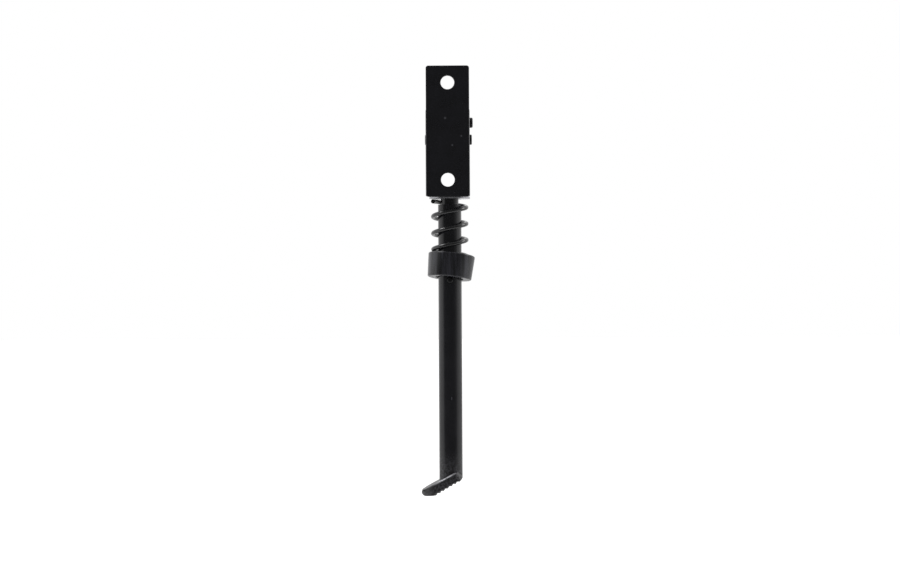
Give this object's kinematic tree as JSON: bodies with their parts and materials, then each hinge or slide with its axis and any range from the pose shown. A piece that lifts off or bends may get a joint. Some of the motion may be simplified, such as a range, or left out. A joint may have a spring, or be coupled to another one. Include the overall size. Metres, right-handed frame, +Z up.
{
  "type": "scooter side stand",
  "caption": "Folding side stand with a steel bracket, a spring-loaded swinging leg, a tipped spring cup and a toothed foot.",
  "frame": {"origin": "middle of the two screw holes, on the face that lies against the scooter", "axes": "+Z runs up the bracket from the leg, -Y points out of the mounting face, and the leg folds out towards +Y about an axis along X"},
  "size_m": [0.0266, 0.0402, 0.2088],
  "materials": {
    "black_paint": "satin black powder coat on steel",
    "black_steel": "black electro-coat on steel",
    "plated_steel": "dull zinc plate on steel",
    "black_nylon": "moulded black nylon"
  },
  "bodies": {
    "mount": {"bracket": "black_paint", "pivot_pin": "black_steel", "stop_pin": "black_steel", "thrust_washer_left": "black_nylon", "thrust_washer_right": "black_nylon"},
    "leg": {"leg": "black_paint", "cup_peg": "black_steel", "spring_cup": "black_nylon", "spring": "black_steel"},
    "seat": {"seat_washer": "plated_steel"}
  },
  "joints": [
    {"name": "leg_swing", "type": "hinge", "parent": "mount", "child": "leg", "pos_m": [0, 0.0126, -0.0034], "axis": [1, 0, 0], "range_deg": [0, 90]},
    {"name": "seat_slide", "type": "slide", "parent": "leg", "child": "seat", "axis": [0, 0, -1], "range_m": [0, 0.004], "stiffness_N_per_m": 4000, "springref_m": -0.004, "deforming": ["spring"]}
  ]
}
